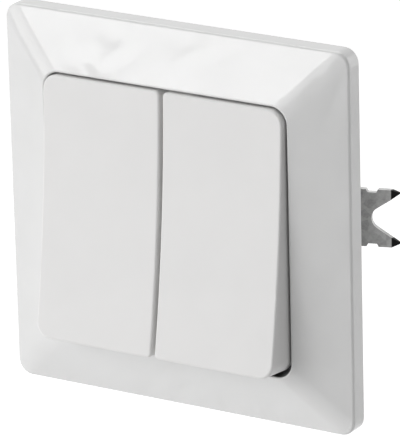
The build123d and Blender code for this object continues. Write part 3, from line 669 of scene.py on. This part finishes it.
def add_piece(name, made, body, slot, stands_for=None):
    """Finished bmesh as an object that rides on a body and takes a slot's finish."""
    data = bpy.data.meshes.new(name)
    made.to_mesh(data)
    made.free()
    piece = bpy.data.objects.new(name, data)
    scene.collection.objects.link(piece)
    data.materials.append(finishes[slot])
    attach(piece, body)
    if stands_for:
        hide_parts(stands_for)
    return piece


print("slots to choose from:", len(finishes))

# %% [markdown]
# A real screw is turned from one rod. Ours is a disc, two head halves, a plain neck and the
# thread, which reach a hair into each other, so no light shows between them. We could type
# each screw's place and length, but the box of the node that it stands for has both, and
# stays right when the construction changes.

# %% Claw screws
HEAD_RADIUS = 2.8 * MM
HEAD_HEIGHT = 1.6 * MM
SHANK_RADIUS = 1.5 * MM
NECK_LENGTH = 1.6 * MM
THREAD_FROM = 1.4 * MM
OVERLAP = 0.02 * MM

for side in ("left", "right"):
    low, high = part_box(f"claw_screw_{side}")
    front = low[1]
    slot_floor = front + SLOT
    head_back = front + HEAD_HEIGHT
    screw = joined([
        half_head(HEAD_RADIUS, front, slot_floor + OVERLAP, 1),
        half_head(HEAD_RADIUS, front, slot_floor + OVERLAP, -1),
        disc(HEAD_RADIUS, slot_floor, head_back),
        disc(SHANK_RADIUS, head_back - OVERLAP, head_back + NECK_LENGTH),
        thread(SHANK_RADIUS, head_back + THREAD_FROM, high[1]),
    ])
    bmesh.ops.translate(screw, verts=screw.verts, vec=((low[0] + high[0]) / 2, 0, 0))
    smooth_below(screw, radians(35))
    piece = add_piece(f"threaded_claw_screw_{side}", screw, f"{side}_claw_screw", "claw_steel",
                      f"claw_screw_{side}")
    print(piece.name, len(piece.data.polygons), "faces")

# %% [markdown]
# On the back of the housing stand plain signs beside the wire entries, in the levers' grey,
# so that a fitter can tell the supply from the two switched wires. Text is the easy way,
# but a text object is a curve and would keep its own turn and place. So each sign is made
# a mesh first, and the turn that lays it on the rear wall goes into its points.

# %% Terminal signs
SIGN_SIZE = 4.0 * MM
SIGN_RELIEF = 0.25 * MM
SIGN_ROUNDING = 0.03 * MM
SAME_SIGN_POINT = 0.002 * MM
SIGNS = {  # name: sign, across, up
    "sign_supply": ("L", 0, 18.2 * MM),
    "sign_switched_one": ("1", 10 * MM, -18.2 * MM),
    "sign_switched_two": ("2", -10 * MM, -18.2 * MM),
}
READ_FROM_BEHIND = Matrix(((-1, 0, 0), (0, 0, 1), (0, 1, 0))).to_4x4()
rear_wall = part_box("socket_base")[1][1]


def raised_sign(name, text, x, z):
    """Letter or number that stands up from the rear wall and reads right from behind."""
    curve = bpy.data.curves.new(name, "FONT")
    curve.body = text
    curve.size = SIGN_SIZE
    curve.align_x = "CENTER"
    curve.align_y = "CENTER"
    curve.extrude = SIGN_RELIEF
    curve.bevel_depth = SIGN_ROUNDING
    holder = bpy.data.objects.new("sign_text", curve)
    scene.collection.objects.link(holder)
    bpy.context.view_layer.update()
    mesh = bpy.data.meshes.new_from_object(holder)
    bpy.data.objects.remove(holder)
    bpy.data.curves.remove(curve)
    mesh.transform(Matrix.Translation((x, rear_wall, z)) @ READ_FROM_BEHIND)
    made = bmesh.new()
    made.from_mesh(mesh)
    bpy.data.meshes.remove(mesh)
    bmesh.ops.remove_doubles(made, verts=made.verts, dist=SAME_SIGN_POINT)
    return add_piece(name, made, "housing", "lever_plastic")


for name, (text, x, z) in SIGNS.items():
    sign = raised_sign(name, text, x, z)
    print(sign.name, "height", round(sign.dimensions.z / MM, 2), "mm")

# %% [markdown]
# Between the signs sits a strip gauge: a raised bar as long as the bare wire must be, with
# an end stop at each side. Three bevelled bars that share one mesh are enough.

# %% Strip gauge
STRIP_LENGTH = 11 * MM
BAR = 0.55 * MM
BAR_ROUNDING = 0.08 * MM
BAR_DEPTH = 2 * SIGN_RELIEF
STOP_DEPTH = 2.6 * SIGN_RELIEF
STOP_HEIGHT = 2.4 * MM


def bar(size, place):
    """Bevelled bar whose back half is sunk in the rear wall."""
    made = bmesh.new()
    bmesh.ops.create_cube(made, size=1)
    bmesh.ops.scale(made, verts=made.verts, vec=size)
    bmesh.ops.bevel(made, geom=made.edges[:], offset=BAR_ROUNDING, offset_type="OFFSET",
                    segments=2, profile=0.5, affect="EDGES", material=-1)
    bmesh.ops.translate(made, verts=made.verts, vec=place)
    return made


bars = [bar((STRIP_LENGTH, BAR_DEPTH, BAR), (0, rear_wall, 0))]
for end in (-1, 1):
    bars.append(bar((BAR, STOP_DEPTH, STOP_HEIGHT), (end * STRIP_LENGTH / 2, rear_wall, 0)))
strip_gauge = add_piece("strip_gauge", joined(bars), "housing", "housing_plastic")
print("strip gauge", [round(v / MM, 2) for v in strip_gauge.dimensions], "mm")

# %% [markdown]
# When the mould opens, round pins push the housing out and leave shallow rings on it. They
# are what tells moulded plastic from a drawn box. One small ridge is spun full circle, once
# for each pin, with its foot sunk a little so that it grows out of the wall.

# %% Ejector marks
PIN_RADIUS = 1.6 * MM
PIN_X = 14 * MM
PIN_Z = 6 * MM
RIDGE = ((-0.14, -0.02), (-0.05, 0.06), (0.05, 0.06), (0.14, -0.02))  # across, up, in mm


def pin_ring(x, z):
    """Fine ridge round one ejector pin, on the rear wall."""
    made = bmesh.new()
    ridge = [made.verts.new((PIN_RADIUS + across * MM, rear_wall + up * MM, 0))
             for across, up in RIDGE]
    lines = [made.edges.new(pair) for pair in zip(ridge, ridge[1:] + ridge[:1])]
    bmesh.ops.spin(made, geom=ridge + lines, cent=(0, 0, 0), axis=(0, 1, 0), angle=2 * pi,
                   steps=48, use_merge=True)
    bmesh.ops.translate(made, verts=made.verts, vec=(x, 0, z))
    bmesh.ops.recalc_face_normals(made, faces=made.faces)
    return made


pins = joined([pin_ring(x, z) for x in (-PIN_X, PIN_X) for z in (-PIN_Z, PIN_Z)])
smooth_below(pins, radians(50))
ejector_marks = add_piece("ejector_marks", pins, "housing", "housing_plastic")
print("ejector marks:", len(ejector_marks.data.polygons), "faces")
